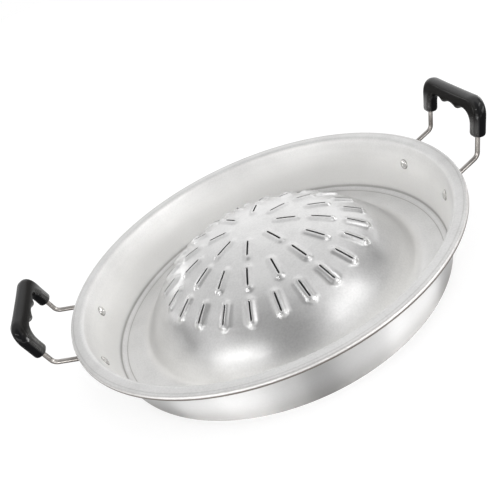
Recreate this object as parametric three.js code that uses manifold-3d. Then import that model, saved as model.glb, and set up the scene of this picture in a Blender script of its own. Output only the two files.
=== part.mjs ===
// A stovetop grill pan of pressed aluminium: a ribbed and slotted dome stands in a round trough, and
// a leaning wall with a flat rim carries two riveted wire handles with black moulded grips.
// Millimetres, +Z up. The pan stands on z = 0, its axis is Z, and the handles lie along X.

import * as THREE from 'three';
import { mergeVertices } from 'three/addons/utils/BufferGeometryUtils.js';
import Module from 'manifold-3d';

const wasm = await Module();
wasm.setup();

const degree = Math.PI / 180;

// Sheet, trough, wall and rim. The depth is measured from the rim's top to the trough's floor.
const sheet = 1.5;
const rimRadius = 175;
const bowlDepth = 51.7;
const wallLean = 13.5 * degree;
const flangeWidth = 11;
const lipDrop = 3.2;
const floorCornerRadius = 4.5;
const rimBendRadius = 4;
const lipRadius = 2;

// Dome, a cap of an ellipse turned about Z. The fullness is the share of the ellipse's half height
// that the cap takes up. The flare is the height at which the dome begins to curve into the floor.
const domeHeight = 64.7;
const domeFootRadius = 125.7;
const domeFullness = 0.51;
const footFlare = 5;

// Ribs pressed up from the dome in rings, each slit along its crest. Ring distances run along the
// dome from its apex to the middle of a rib, and each ring has eight ribs more than the last.
const ringCount = 3;
const ribsPerRing = 8;
const firstRing = 31;
const ringPitch = 29;
const ribTurn = -110.8 * degree;
const ribWidth = 9.4;
const ribHeight = 2.3;
const slitWidth = 1.5;
const slitLength = 16.2;

// Handle rods, bent from round wire. The reach is from the lip to the upward bend.
const rodDiameter = 4;
const rodSpacing = 79;
const rodReach = 17.7;
const rodRise = 20 * degree;
const rodBend = 7;
const handleLean = 13.6 * degree;

// Flattened rod ends and the rivets that hold them to the wall
const rivetDepth = 19.8;
const endThickness = 2;
const endWidth = 10;
const endLength = 15;
const shankDiameter = 4.4;
const headDiameter = 8.4;
const headHeight = 1.7;
const tailDiameter = 7;
const tailHeight = 1.6;

// Grips, moulded round the rods. The stem is the bare rod between its bend and the grip, and the two
// handles are bent with stems of their own.
const stemRight = 17.4;
const stemLeft = 13;
const gripHeight = 31.3;
const gripLeg = 13.1;
const gripBar = 13.6;
const gripThickness = 10.7;
const gripCorner = 14.2;
const gripFillet = 9;
const gripEdge = 3.8;
const legChamfer = 3;
const fingerCount = 3;
const fingerDepth = 2.4;

// Clearances between seated pieces and round whatever passes through a hole
const seatGap = 0.5;
const holeGap = 0.3;

// Facets
const turnFacets = 48;
const rodSides = 8;
const bendSteps = 3;
const domeSteps = 6;
const arcSteps = 2;
const ribSides = 8;
const ribEndSteps = 2;
const hollowEndSteps = 1;
const edgeSteps = 2;
const gripCurveSteps = 5;
const holeFacets = 10;

const floorZ = sheet;
const rimZ = floorZ + bowlDepth;
const apexZ = floorZ + domeHeight;
const rodRadius = rodDiameter / 2;
const slitReach = ribHeight + 2 * sheet;
const drillReach = 2 * (sheet + endThickness);

const aluminium = { color: 0xd2d1cc, roughness: 0.34, metalness: 1 };
const plated = { color: 0xb9b3ab, roughness: 0.2, metalness: 1 };
const phenolic = { color: 0x191817, roughness: 0.32, metalness: 0 };

// Turns a closed geometry into a solid, with its shared corners joined and flat triangles dropped.
function toSolid(geometry, matrix = new THREE.Matrix4()) {
  const placed = geometry.clone().applyMatrix4(matrix);
  placed.deleteAttribute('normal');
  placed.deleteAttribute('uv');
  const welded = mergeVertices(placed);
  const corners = welded.index.array;
  const kept = [];
  for (let i = 0; i < corners.length; i += 3) {
    const [a, b, c] = corners.slice(i, i + 3);
    if (a !== b && b !== c && c !== a) {
      kept.push(a, b, c);
    }
  }
  const vertProperties = welded.getAttribute('position').array;
  return new wasm.Manifold(new wasm.Mesh({ numProp: 3, vertProperties, triVerts: new Uint32Array(kept) }));
}

function toGeometry(solid) {
  const { vertProperties, triVerts } = solid.getMesh();
  const geometry = new THREE.BufferGeometry();
  geometry.setAttribute('position', new THREE.BufferAttribute(vertProperties, 3));
  geometry.setIndex(new THREE.BufferAttribute(triVerts, 1));
  geometry.computeVertexNormals();
  return geometry;
}

function namedMesh(name, geometry, finish) {
  const mesh = new THREE.Mesh(geometry, new THREE.MeshStandardMaterial(finish));
  mesh.name = name;
  return mesh;
}

// Turns a profile of radius and height about Z, with the middle of a facet under the first rib.
function revolve(profile) {
  const start = ribTurn - Math.PI / turnFacets;
  return new THREE.LatheGeometry(profile, turnFacets).rotateX(Math.PI / 2).rotateZ(start + Math.PI / 2);
}

// Straight runs between the given points, with an arc of the given radius at each inner point.
function roundedRuns(points, radii) {
  const runs = [];
  let start = points[0];
  for (let i = 1; i < points.length - 1; i += 1) {
    const corner = points[i];
    const radius = radii[i - 1];
    const inward = corner.clone().sub(points[i - 1]).normalize();
    const onward = points[i + 1].clone().sub(corner).normalize();
    const turn = Math.atan2(inward.cross(onward), inward.dot(onward));
    const tangent = radius * Math.tan(Math.abs(turn) / 2);
    const arcStart = corner.clone().addScaledVector(inward, -tangent);
    const toCentre = new THREE.Vector2(-inward.y, inward.x).multiplyScalar(Math.sign(turn));
    const { x, y } = arcStart.clone().addScaledVector(toCentre, radius);
    const from = Math.atan2(-toCentre.y, -toCentre.x);
    const arc = new THREE.EllipseCurve(x, y, radius, radius, from, from + turn, turn < 0);
    runs.push({ curve: new THREE.LineCurve(start, arcStart), steps: 1 });
    runs.push({ curve: arc, steps: arcSteps });
    start = corner.clone().addScaledVector(onward, tangent);
  }
  runs.push({ curve: new THREE.LineCurve(start, points[points.length - 1]), steps: 1 });
  return runs;
}

// The dome's line from its apex down to the height where it begins to flare
const domeHalfHeight = domeHeight / domeFullness;
const domeHalfWidth = domeFootRadius / Math.sqrt(1 - (1 - domeFullness) ** 2);
const flareAngle = Math.asin(1 - (domeHeight - footFlare) / domeHalfHeight);
const domeLine = new THREE.EllipseCurve(
  0, apexZ - domeHalfHeight, domeHalfWidth, domeHalfHeight, Math.PI / 2, flareAngle, true,
);

// The upper face of the sheet from the apex out to the end of the lip
function sheetRuns() {
  const flareStart = domeLine.getPoint(1);
  const slope = domeLine.getTangent(1);
  const flareCorner = flareStart.clone().addScaledVector(slope, -footFlare / slope.y);
  const flareEnd = flareCorner.clone();
  flareEnd.x += flareCorner.distanceTo(flareStart);
  const wallTop = rimRadius - flangeWidth;
  const outline = [
    flareEnd,
    new THREE.Vector2(wallTop - bowlDepth * Math.tan(wallLean), floorZ),
    new THREE.Vector2(wallTop, rimZ),
    new THREE.Vector2(rimRadius, rimZ),
    new THREE.Vector2(rimRadius, rimZ - lipDrop),
  ];
  return [
    { curve: domeLine, steps: domeSteps },
    { curve: new THREE.QuadraticBezierCurve(flareStart, flareCorner, flareEnd), steps: arcSteps },
    ...roundedRuns(outline, [floorCornerRadius, rimBendRadius, lipRadius]),
  ];
}

// Points along the runs, moved below the upper face by the given depth
function sampleRuns(runs, depth) {
  const points = [];
  runs.forEach(({ curve, steps }, index) => {
    for (let i = index === 0 ? 0 : 1; i <= steps; i += 1) {
      const point = curve.getPoint(i / steps);
      const along = curve.getTangent(i / steps);
      points.push(new THREE.Vector2(Math.max(0, point.x + depth * along.y), point.y - depth * along.x));
    }
  });
  return points;
}

function pressedSheet() {
  const runs = sheetRuns();
  const profile = [...sampleRuns(runs, sheet), ...sampleRuns(runs, 0).reverse()];
  return toSolid(revolve(profile));
}

// The space under the middle of the sheet's thickness, which trims the ribs to the dome
function underDome() {
  const middle = sampleRuns([{ curve: domeLine, steps: domeSteps }], sheet / 2);
  const edge = middle[middle.length - 1];
  const profile = [new THREE.Vector2(0, 0), new THREE.Vector2(edge.x, 0), ...middle.reverse()];
  return toSolid(revolve(profile));
}

// Rib places: X across the rib, Y down the dome along it and Z out of the dome
function ribPlaces() {
  const places = [];
  for (let ring = 1; ring <= ringCount; ring += 1) {
    const t = domeLine.getUtoTmapping(0, firstRing + (ring - 1) * ringPitch);
    const middle = domeLine.getPoint(t);
    const down = domeLine.getTangent(t);
    const count = ribsPerRing * ring;
    for (let i = 0; i < count; i += 1) {
      const along = new THREE.Vector3(down.x, 0, down.y);
      const out = new THREE.Vector3(-down.y, 0, down.x);
      const across = along.clone().cross(out);
      const place = new THREE.Matrix4().makeBasis(across, along, out);
      place.setPosition(middle.x, 0, middle.y);
      const turn = new THREE.Matrix4().makeRotationZ(ribTurn + (i / count) * 2 * Math.PI);
      places.push(turn.multiply(place));
    }
  }
  return places;
}

// A rib is the part of a round-ended bar that stands out of the dome, and its hollow is the same bar
// thinner by the sheet. Z is zero on the dome's face, where the rib has its full width.
const ribRadius = (ribWidth ** 2 / 4 + ribHeight ** 2) / (2 * ribHeight);

function ribBar(radius, endSteps) {
  const halfFacet = Math.PI / ribSides;
  const bar = new THREE.CapsuleGeometry(radius / Math.cos(halfFacet), slitLength, endSteps, ribSides);
  return bar.rotateY(halfFacet).translate(0, 0, ribHeight - ribRadius);
}

function joinAt(geometry, places) {
  return places.map((place) => toSolid(geometry, place)).reduce((all, one) => all.add(one));
}

// Rivet places on the right handle's side: Y out through the wall, Z up along it
const rivetZ = rimZ - rivetDepth;
const wallRadiusAtRivet = rimRadius - flangeWidth - rivetDepth * Math.tan(wallLean);
const rivetTurn = Math.asin(rodSpacing / 2 / (wallRadiusAtRivet + sheet + seatGap + rodRadius));

function rivetPlace(side) {
  const out = new THREE.Vector3(Math.cos(wallLean), 0, -Math.sin(wallLean));
  const up = new THREE.Vector3(Math.sin(wallLean), 0, Math.cos(wallLean));
  const place = new THREE.Matrix4().makeBasis(out.clone().cross(up), out, up);
  place.setPosition(wallRadiusAtRivet, 0, rivetZ);
  return new THREE.Matrix4().makeRotationZ(side * rivetTurn).multiply(place);
}

function rivetHole() {
  const radius = shankDiameter / 2 + holeGap;
  return new THREE.CylinderGeometry(radius, radius, 2 * drillReach, holeFacets);
}

function panBody() {
  const places = ribPlaces();
  const ribs = joinAt(ribBar(ribRadius, ribEndSteps), places).subtract(underDome());
  const hollows = joinAt(ribBar(ribRadius - sheet, hollowEndSteps), places);
  const slits = joinAt(new THREE.BoxGeometry(slitWidth, slitLength, 2 * slitReach), places);
  let body = pressedSheet().add(ribs).subtract(hollows).subtract(slits);
  for (const turn of [0, Math.PI]) {
    for (const side of [1, -1]) {
      const place = new THREE.Matrix4().makeRotationZ(turn).multiply(rivetPlace(side));
      body = body.subtract(toSolid(rivetHole(), place));
    }
  }
  return toGeometry(body);
}

// A rod through given corner points, with every bend rounded to one radius. Its stations lie at the
// ends of the bends and inside them, so straight runs take no steps of their own.
class BentRod extends THREE.Curve {
  constructor(corners, radius) {
    super();
    this.stations = [corners[0]];
    for (let i = 1; i < corners.length - 1; i += 1) {
      const inward = corners[i].clone().sub(corners[i - 1]).normalize();
      const onward = corners[i + 1].clone().sub(corners[i]).normalize();
      const turn = inward.angleTo(onward);
      const toCentre = onward.clone().sub(inward).normalize();
      const centre = corners[i].clone().addScaledVector(toCentre, radius / Math.cos(turn / 2));
      const axis = inward.clone().cross(onward).normalize();
      const spoke = toCentre.clone().multiplyScalar(-radius).applyAxisAngle(axis, -turn / 2);
      for (let step = 0; step <= bendSteps; step += 1) {
        const turned = spoke.clone().applyAxisAngle(axis, (turn * step) / bendSteps);
        this.stations.push(centre.clone().add(turned));
      }
    }
    this.stations.push(corners[corners.length - 1]);
  }

  getPoint(t, target = new THREE.Vector3()) {
    const last = this.stations.length - 1;
    const index = Math.min(Math.floor(t * last), last - 1);
    return target.lerpVectors(this.stations[index], this.stations[index + 1], t * last - index);
  }

  getUtoTmapping(u) {
    return u;
  }
}

// The rod's bend above the lip, in the plane of one leg, and the direction of the leg and grip
const legY = rodSpacing / 2;
const lipX = Math.sqrt(rimRadius ** 2 - legY ** 2);
const underLipZ = rimZ - lipDrop - seatGap - rodRadius / Math.cos(rodRise);
const bendX = lipX + rodReach;
const bendZ = underLipZ + rodReach * Math.tan(rodRise);
const gripUp = new THREE.Vector3(Math.sin(handleLean), 0, Math.cos(handleLean));

function legPoint(height, side) {
  return new THREE.Vector3(bendX, side * legY, bendZ).addScaledVector(gripUp, height);
}

// Where the rod leaves the wall: on its flattened end it runs up the wall, and it turns out from
// there on the line that passes under the lip.
function wallPoint(side, up) {
  const off = sheet + seatGap + rodRadius;
  return new THREE.Vector3(0, off, up).applyMatrix4(rivetPlace(side));
}

function turnOutPoint(side) {
  const low = wallPoint(side, 0);
  const run = wallPoint(side, 1).sub(low);
  const slope = Math.tan(rodRise);
  const lineZ = bendZ - slope * (bendX - low.x);
  const up = (lineZ - low.z) / (run.z - slope * run.x);
  return low.addScaledVector(run, up);
}

const endTop = endLength - endWidth / 2;
const rodStart = tailDiameter / 2 + 2 * seatGap;

function rodPath(stem) {
  const barMiddle = stem + gripHeight - gripBar / 2;
  const corners = [
    wallPoint(1, rodStart), turnOutPoint(1), legPoint(0, 1), legPoint(barMiddle, 1),
    legPoint(barMiddle, -1), legPoint(0, -1), turnOutPoint(-1), wallPoint(-1, rodStart),
  ];
  return new BentRod(corners, rodBend);
}

function roundTube(path, radius) {
  const section = [];
  for (let i = 0; i < rodSides; i += 1) {
    const angle = ((i + 0.5) / rodSides) * 2 * Math.PI;
    section.push(new THREE.Vector2(radius * Math.cos(angle), radius * Math.sin(angle)));
  }
  const steps = path.stations.length - 1;
  return new THREE.ExtrudeGeometry(new THREE.Shape(section), { steps, extrudePath: path });
}

// The flattened end: a plate with a round foot below the rivet, drilled for the shank
function flatEnd(side) {
  const half = endWidth / 2;
  const outline = new THREE.Shape();
  outline.moveTo(-half, 0);
  outline.absarc(0, 0, half, Math.PI, 2 * Math.PI, false);
  outline.lineTo(rodRadius, endTop);
  outline.lineTo(-rodRadius, endTop);
  const plate = new THREE.ExtrudeGeometry(outline, {
    depth: endThickness,
    bevelEnabled: false,
    curveSegments: holeFacets,
  });
  plate.rotateX(Math.PI / 2).translate(0, sheet + seatGap + endThickness, 0);
  return toSolid(plate, rivetPlace(side)).subtract(toSolid(rivetHole(), rivetPlace(side)));
}

function handleRod(path) {
  const rod = toSolid(roundTube(path, rodRadius));
  return toGeometry(rod.add(flatEnd(1)).add(flatEnd(-1)));
}

// The grip's outline, across the handle and up: two legs with chamfered ends, rounded shoulders, and
// finger hollows under the bar, of which the outer two curve on down into the legs
function gripOutline() {
  const outer = legY + gripLeg / 2;
  const inner = legY - gripLeg / 2;
  const under = gripHeight - gripBar;
  const cusp = under - fingerDepth;
  const crest = under + fingerDepth;
  const finger = (2 * inner) / fingerCount;
  const firstCusp = finger - inner;
  const outline = new THREE.Shape();
  outline.moveTo(outer - legChamfer, 0);
  outline.lineTo(outer, legChamfer);
  outline.absarc(outer - gripCorner, gripHeight - gripCorner, gripCorner, 0, Math.PI / 2, false);
  outline.absarc(gripCorner - outer, gripHeight - gripCorner, gripCorner, Math.PI / 2, Math.PI, false);
  outline.lineTo(-outer, legChamfer);
  outline.lineTo(legChamfer - outer, 0);
  outline.lineTo(-inner - legChamfer, 0);
  outline.lineTo(-inner, legChamfer);
  outline.lineTo(-inner, under - gripFillet);
  outline.bezierCurveTo(-inner, crest, firstCusp - finger / 4, crest, firstCusp, cusp);
  for (let x = firstCusp; x < -firstCusp - finger / 2; x += finger) {
    outline.quadraticCurveTo(x + finger / 2, crest, x + finger, cusp);
  }
  outline.bezierCurveTo(finger / 4 - firstCusp, crest, inner, crest, inner, under - gripFillet);
  outline.lineTo(inner, legChamfer);
  outline.lineTo(inner + legChamfer, 0);
  return outline;
}

function moulding(path, stem) {
  const block = new THREE.ExtrudeGeometry(gripOutline(), {
    depth: gripThickness - 2 * gripEdge,
    bevelEnabled: true,
    bevelThickness: gripEdge,
    bevelSize: gripEdge,
    bevelOffset: -gripEdge,
    bevelSegments: edgeSteps,
    curveSegments: gripCurveSteps,
  });
  block.translate(0, stem, gripEdge - gripThickness / 2);
  const across = new THREE.Vector3(0, 1, 0);
  const place = new THREE.Matrix4().makeBasis(across, gripUp, across.clone().cross(gripUp));
  place.setPosition(bendX, 0, bendZ);
  const channel = toSolid(roundTube(path, rodRadius + holeGap));
  return toGeometry(toSolid(block, place).subtract(channel));
}

// A rivet with a low domed head inside the pan and an upset tail on the flattened rod end
function rivet() {
  const tailSeat = sheet + endThickness + 2 * seatGap;
  const headStart = 1.5 * Math.PI;
  const head = new THREE.EllipseCurve(0, -seatGap, headDiameter / 2, headHeight, headStart, 2 * Math.PI);
  const tail = new THREE.EllipseCurve(0, tailSeat, tailDiameter / 2, tailHeight, 0, Math.PI / 2);
  const profile = [
    ...head.getPoints(arcSteps + 1),
    new THREE.Vector2(shankDiameter / 2, -seatGap),
    new THREE.Vector2(shankDiameter / 2, tailSeat),
    ...tail.getPoints(arcSteps + 1),
  ];
  return toGeometry(toSolid(new THREE.LatheGeometry(profile, holeFacets)));
}

const pan = new THREE.Group();
pan.add(namedMesh('pan_body', panBody(), aluminium));

for (const [end, turn, stem] of [['right', 0, stemRight], ['left', Math.PI, stemLeft]]) {
  const path = rodPath(stem);
  const handle = new THREE.Group();
  handle.rotation.z = turn;
  handle.add(namedMesh(`handle_wire_${end}`, handleRod(path), plated));
  handle.add(namedMesh(`grip_${end}`, moulding(path, stem), phenolic));
  for (const side of [1, -1]) {
    const place = (side > 0) === (turn === 0) ? 'back' : 'front';
    const mesh = namedMesh(`rivet_${end}_${place}`, rivet(), aluminium);
    mesh.applyMatrix4(rivetPlace(side));
    handle.add(mesh);
  }
  pan.add(handle);
}

export default pan;
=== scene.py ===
"""Looks of a stovetop grill pan: a pressed and spun aluminium sheet, bent wire handles, moulded grips."""
import logging
from dataclasses import dataclass
from enum import Enum
from typing import Any, Union

import bpy
import numpy as np
from mathutils import Matrix


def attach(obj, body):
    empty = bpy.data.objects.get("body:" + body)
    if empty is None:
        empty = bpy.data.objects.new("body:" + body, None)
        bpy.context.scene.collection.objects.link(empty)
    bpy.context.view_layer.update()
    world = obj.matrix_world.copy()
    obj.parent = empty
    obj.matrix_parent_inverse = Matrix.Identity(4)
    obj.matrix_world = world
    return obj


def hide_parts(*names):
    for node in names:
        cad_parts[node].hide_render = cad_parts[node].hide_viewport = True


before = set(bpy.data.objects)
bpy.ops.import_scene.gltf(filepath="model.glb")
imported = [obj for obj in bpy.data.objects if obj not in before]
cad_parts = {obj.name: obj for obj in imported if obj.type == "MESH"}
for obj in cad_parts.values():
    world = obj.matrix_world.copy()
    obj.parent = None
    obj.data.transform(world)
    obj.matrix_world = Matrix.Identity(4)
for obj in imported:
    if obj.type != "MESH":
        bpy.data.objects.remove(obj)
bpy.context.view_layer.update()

MM = 0.001
CLOSE = 0.01
WHITE = (1.0, 1.0, 1.0, 1.0)
MIRROR_Y = np.array([1.0, -1.0, 1.0])

log = logging.getLogger("grill_pan")
Colour = tuple[float, float, float]
Span = tuple[float, float]
Triple = tuple[float, float, float]


def radians(degrees: float) -> float:
    """Radians for a number of degrees."""
    return float(np.radians(degrees))


def unit(vectors: np.ndarray) -> np.ndarray:
    """The same vectors, each one long."""
    return vectors / np.linalg.norm(vectors, axis=-1, keepdims=True)


def smoothstep(low: float, high: float, value: np.ndarray) -> np.ndarray:
    """A soft step from 0 at low to 1 at high, three squares less two cubes of the way between."""
    t = np.clip((value - low) / (high - low), 0.0, 1.0)
    return t * t * (3.0 - 2.0 * t)


def ring_angles(count: int) -> np.ndarray:
    """Even angles round a full circle."""
    return 2 * np.pi * np.arange(count) / count


def lengths_along(points: np.ndarray) -> np.ndarray:
    """Distance of each point of a path from the first one, along the path."""
    return np.concatenate([[0.0], np.cumsum(np.linalg.norm(np.diff(points, axis=0), axis=1))])


def times(colour: Colour, share: float) -> Colour:
    """A colour times a share."""
    return tuple(part * share for part in colour)


def turn_z(points: np.ndarray, angle: float) -> np.ndarray:
    """The points turned about Z by an angle in radians."""
    c, s = np.cos(angle), np.sin(angle)
    return points @ np.array([[c, s, 0.0], [-s, c, 0.0], [0.0, 0.0, 1.0]])


def aim(azimuth: float, elevation: float) -> np.ndarray:
    """The direction, one long, at two angles in degrees: about Z from +X, and up from level."""
    turn, tilt = radians(azimuth), radians(elevation)
    return np.array([np.cos(tilt) * np.cos(turn), np.cos(tilt) * np.sin(turn), np.sin(tilt)])


def grid_quads(rows: int, columns: int, closed: bool = False) -> np.ndarray:
    """Quads of a grid of points whose columns run round in a ring.

    Args:
        rows: Number of rows of points.
        columns: Number of points in a row; the last joins the first.
        closed: Whether the last row joins the first as well.

    Returns:
        Point numbers, shaped (bands, columns, 4), wound row first, then column.
    """
    row = np.arange(rows if closed else rows - 1)[:, None]
    column = np.arange(columns)[None, :]
    below, beside = (row + 1) % rows, (column + 1) % columns
    here, there = row * columns, below * columns
    return np.stack([here + column, there + column, there + beside, here + beside], axis=-1)


def end_caps(rows: int, columns: int) -> np.ndarray:
    """Triangles that close a grid of rings with a fan at each end.

    Args:
        rows: Number of rows of points.
        columns: Number of points in a row.

    Returns:
        Point numbers, shaped (triangles, 3); the fans' middles are the two points after the grid's own.
    """
    first = np.arange(columns)
    after = (first + 1) % columns
    middle, last = np.full(columns, rows * columns), (rows - 1) * columns
    start = np.stack([middle, first, after], axis=-1)
    return np.concatenate([start, np.stack([last + first, middle + 1, last + after], axis=-1)])


@dataclass
class Skin:
    """A surface ready to become a mesh: points in millimetres, its faces and how they look."""

    points: np.ndarray
    quads: np.ndarray
    triangles: np.ndarray | None = None
    finish: np.ndarray | None = None
    flat: np.ndarray | None = None

    def to_mesh(self, name: str) -> bpy.types.Mesh:
        """Writes the surface into a new mesh, in metres, without the points that no face uses.

        Args:
            name: Name of the mesh.

        Returns:
            The mesh, smooth but for the faces marked flat.
        """
        triangles = np.zeros((0, 3), int) if self.triangles is None else self.triangles
        loops = np.concatenate([self.quads.ravel(), triangles.ravel()])
        used, corner = np.unique(loops, return_inverse=True)
        quad_starts = np.arange(len(self.quads)) * 4
        starts = np.concatenate([quad_starts, len(self.quads) * 4 + np.arange(len(triangles)) * 3])
        mesh = bpy.data.meshes.new(name)
        mesh.vertices.add(len(used))
        mesh.vertices.foreach_set("co", (self.points[used] * MM).astype(np.float32).ravel())
        mesh.loops.add(len(loops))
        mesh.loops.foreach_set("vertex_index", corner.astype(np.int32).ravel())
        mesh.polygons.add(len(starts))
        mesh.polygons.foreach_set("loop_start", starts.astype(np.int32))
        smooth = np.ones(len(starts), bool) if self.flat is None else ~self.flat
        mesh.polygons.foreach_set("use_smooth", smooth)
        if self.finish is not None:
            mesh.polygons.foreach_set("material_index", self.finish.astype(np.int32))
        mesh.update(calc_edges=True)
        mesh.validate()
        return mesh


def add_piece(name: str, skin: Skin, finishes: list[bpy.types.Material], node: str) -> None:
    """Puts a piece in the scene in place of a CAD node.

    Args:
        name: The piece's name.
        skin: Its surface.
        finishes: Materials, in the order of the skin's finish numbers.
        node: The CAD node that it stands for.
    """
    piece = bpy.data.objects.new(name, skin.to_mesh(name))
    for finish in finishes:
        piece.data.materials.append(finish)
    bpy.context.scene.collection.objects.link(piece)
    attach(piece, "root")
    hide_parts(node)
    log.info("%s: %d faces, stands for %s", name, len(piece.data.polygons), node)


@dataclass(frozen=True)
class Value:
    """A node's output, on which Python's operators add Math nodes."""

    graph: "Graph"
    socket: bpy.types.NodeSocket

    def __add__(self, other: "Term") -> "Value":
        """Sum of two values."""
        return self.graph.math("ADD", self, other)

    def __radd__(self, other: "Term") -> "Value":
        """Sum, with the number on the left."""
        return self.graph.math("ADD", other, self)

    def __sub__(self, other: "Term") -> "Value":
        """Difference of two values."""
        return self.graph.math("SUBTRACT", self, other)

    def __rsub__(self, other: "Term") -> "Value":
        """Difference, with the number on the left."""
        return self.graph.math("SUBTRACT", other, self)

    def __mul__(self, other: "Term") -> "Value":
        """Product of two values."""
        return self.graph.math("MULTIPLY", self, other)

    def __rmul__(self, other: "Term") -> "Value":
        """Product, with the number on the left."""
        return self.graph.math("MULTIPLY", other, self)


Term = Union[Value, float, int]
Setting = Union[Value, float, int, tuple[float, ...]]


class Graph:
    """The nodes of one material or world."""

    def __init__(self, tree: bpy.types.NodeTree) -> None:
        """Starts with an empty tree."""
        self.tree = tree
        tree.nodes.clear()

    def node(self, kind: str, settings: dict[str, Any] | None = None,
             inputs: dict[Union[str, int], Setting] | None = None, output: Union[str, int] = 0) -> Value:
        """Adds a node of any type.

        Args:
            kind: The node's type.
            settings: Properties, set first.
            inputs: Numbers, colours or other nodes' outputs for its sockets, by name or number.
            output: Which of its outputs is wanted.

        Returns:
            That output, or the node's first input for a node that has no output.
        """
        node = self.tree.nodes.new(kind)
        for key, setting in (settings or {}).items():
            setattr(node, key, setting)
        for key, value in (inputs or {}).items():
            if isinstance(value, Value):
                self.tree.links.new(value.socket, node.inputs[key])
            else:
                node.inputs[key].default_value = value
        return Value(self, node.outputs[output] if len(node.outputs) else node.inputs[0])

    def math(self, operation: str, *terms: Term) -> Value:
        """A Math node on one or two values."""
        return self.node("ShaderNodeMath", {"operation": operation}, dict(enumerate(terms)))

    def vector(self, operation: str, first: Setting, second: Setting, output: str = "Vector") -> Value:
        """A Vector Math node on two vectors."""
        return self.node("ShaderNodeVectorMath", {"operation": operation}, {0: first, 1: second}, output)

    def blend(self, share: Term, first: Union[Value, Colour], second: Union[Value, Colour]) -> Value:
        """A colour between two others, by the share of the second."""
        pair = [colour if isinstance(colour, Value) else (*colour, 1.0) for colour in (first, second)]
        return self.node("ShaderNodeMix", {"data_type": "RGBA"}, {0: share, 6: pair[0], 7: pair[1]}, 2)

    def step(self, value: Value, low: float, high: float) -> Value:
        """A soft step from 0 where the value is low to 1 where it is high."""
        settings = {"interpolation_type": "SMOOTHSTEP"}
        return self.node("ShaderNodeMapRange", settings, {"Value": value, "From Min": low, "From Max": high})

    def band(self, value: Value, middle: float, half: float) -> Value:
        """A soft line: 1 where the value is the middle, 0 from half a width away."""
        return 1.0 - self.step(self.math("ABSOLUTE", value - middle), 0.0, half)

    def noise(self, place: Value, scale: float, detail: float = 2.0, roughness: float = 0.5) -> Value:
        """Cloudy noise between 0 and 1; the scale is in clouds to a metre."""
        sockets = {"Vector": place, "Scale": scale, "Detail": detail, "Roughness": roughness}
        return self.node("ShaderNodeTexNoise", {}, sockets, "Fac")

    def place(self, kind: str = "Object") -> Value:
        """Texture coordinates; the Object ones are in metres."""
        return self.node("ShaderNodeTexCoord", {}, {}, kind)

    def radius(self, x: Value, y: Value) -> Value:
        """Distance from the Z axis."""
        return self.math("SQRT", x * x + y * y)

    def parts(self, vector: Value) -> tuple[Value, Value, Value]:
        """A vector's three parts."""
        split = self.node("ShaderNodeSeparateXYZ", {}, {0: vector}).socket.node
        return Value(self, split.outputs[0]), Value(self, split.outputs[1]), Value(self, split.outputs[2])

    def bump(self, height: Value, strength: float, distance: float) -> Value:
        """A normal tilted by a height."""
        sockets = {"Height": height, "Strength": strength, "Distance": distance}
        return self.node("ShaderNodeBump", {}, sockets, "Normal")

    def surface(self, **inputs: Setting) -> None:
        """Ends a material in a Principled shader; names use underscores for spaces."""
        sockets = {key.replace("_", " "): value for key, value in inputs.items()}
        shader = self.node("ShaderNodeBsdfPrincipled", {}, sockets)
        self.node("ShaderNodeOutputMaterial", {}, {"Surface": shader})


def new_material(name: str) -> tuple[bpy.types.Material, Graph]:
    """An empty node material and its graph."""
    material = bpy.data.materials.new(name)
    material.use_nodes = True
    return material, Graph(material.node_tree)


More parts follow.
